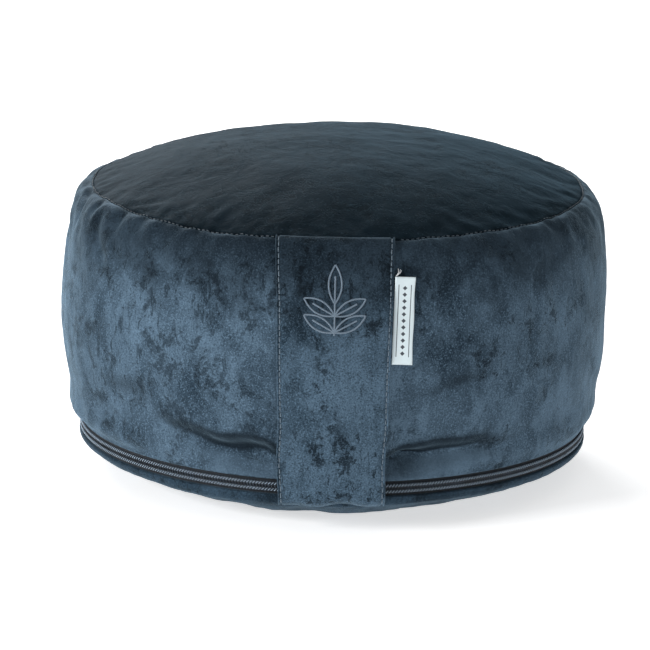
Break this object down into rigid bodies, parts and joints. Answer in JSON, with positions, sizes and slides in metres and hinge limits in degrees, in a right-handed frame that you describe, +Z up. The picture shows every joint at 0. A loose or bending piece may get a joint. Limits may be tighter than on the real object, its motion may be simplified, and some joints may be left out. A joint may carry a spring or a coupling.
{
  "type": "floor cushion",
  "caption": "Round velvet floor cushion filled with hulls, with a domed top, a zip round its lower edge, a wide carrying strap and a folded label.",
  "frame": {"origin": "centre of the flat base, on the cushion's own axis, where it rests on the floor", "axes": "+Z up; -Y towards the front, where the strap is; +X to the right seen from the front"},
  "size_m": [0.33, 0.3327, 0.2],
  "materials": {
    "velvet_top": "crushed velvet, dark slate blue, pile lying away",
    "velvet_side": "crushed velvet, slate blue, mottled pile",
    "velvet_base": "crushed velvet, slate blue",
    "velvet_strap": "crushed velvet, doubled, slate blue",
    "zip_tape": "woven tape, dark blue",
    "zip_nylon": "satin nylon coil",
    "zip_metal": "dark blue enamel",
    "thread": "pale blue-grey thread",
    "label_satin": "white woven satin",
    "bag_cotton": "plain unbleached cotton",
    "hulls": "loose buckwheat hulls"
  },
  "bodies": {
    "cushion": {"cover_top_panel": "velvet_top", "cover_side_panel": "velvet_side", "cover_bottom_panel": "velvet_base", "zip_tape_upper": "zip_tape", "zip_tape_lower": "zip_tape", "zip_coil_upper": "zip_nylon", "zip_coil_lower": "zip_nylon", "zip_top_stop_upper": "zip_metal", "zip_top_stop_lower": "zip_metal", "zip_bottom_stop": "zip_metal", "inner_bag_top": "bag_cotton", "inner_bag_side": "bag_cotton", "inner_bag_bottom": "bag_cotton", "hull_fill": "hulls"},
    "zip_runner": {"zip_slider": "zip_metal"},
    "zip_puller": {"zip_pull": "zip_metal"},
    "handle": {"handle_strap": "velvet_strap", "handle_stitching_left": "thread", "handle_stitching_right": "thread", "handle_embroidery": "thread"},
    "label": {"side_label": "label_satin"}
  },
  "joints": [
    {"name": "zip_slider_travel", "type": "hinge", "parent": "cushion", "child": "zip_runner", "pos_m": [0, 0, 0.025], "axis": [0, 0, 1], "range_deg": [0, 211]},
    {"name": "zip_pull_flip", "type": "hinge", "parent": "zip_runner", "child": "zip_puller", "pos_m": [-0.15021, 0.0426, 0.025], "axis": [0, 0, -1], "range_deg": [0, 180]},
    {"name": "handle_bow", "type": "slide", "parent": "cushion", "child": "handle", "axis": [0, -1, 0], "range_m": [0, 0.016]},
    {"name": "label_flap", "type": "hinge", "parent": "handle", "child": "label", "pos_m": [0.03356, -0.16455, 0.104], "axis": [-0.0217, -0.1397, -0.99], "range_deg": [0, 90]}
  ]
}
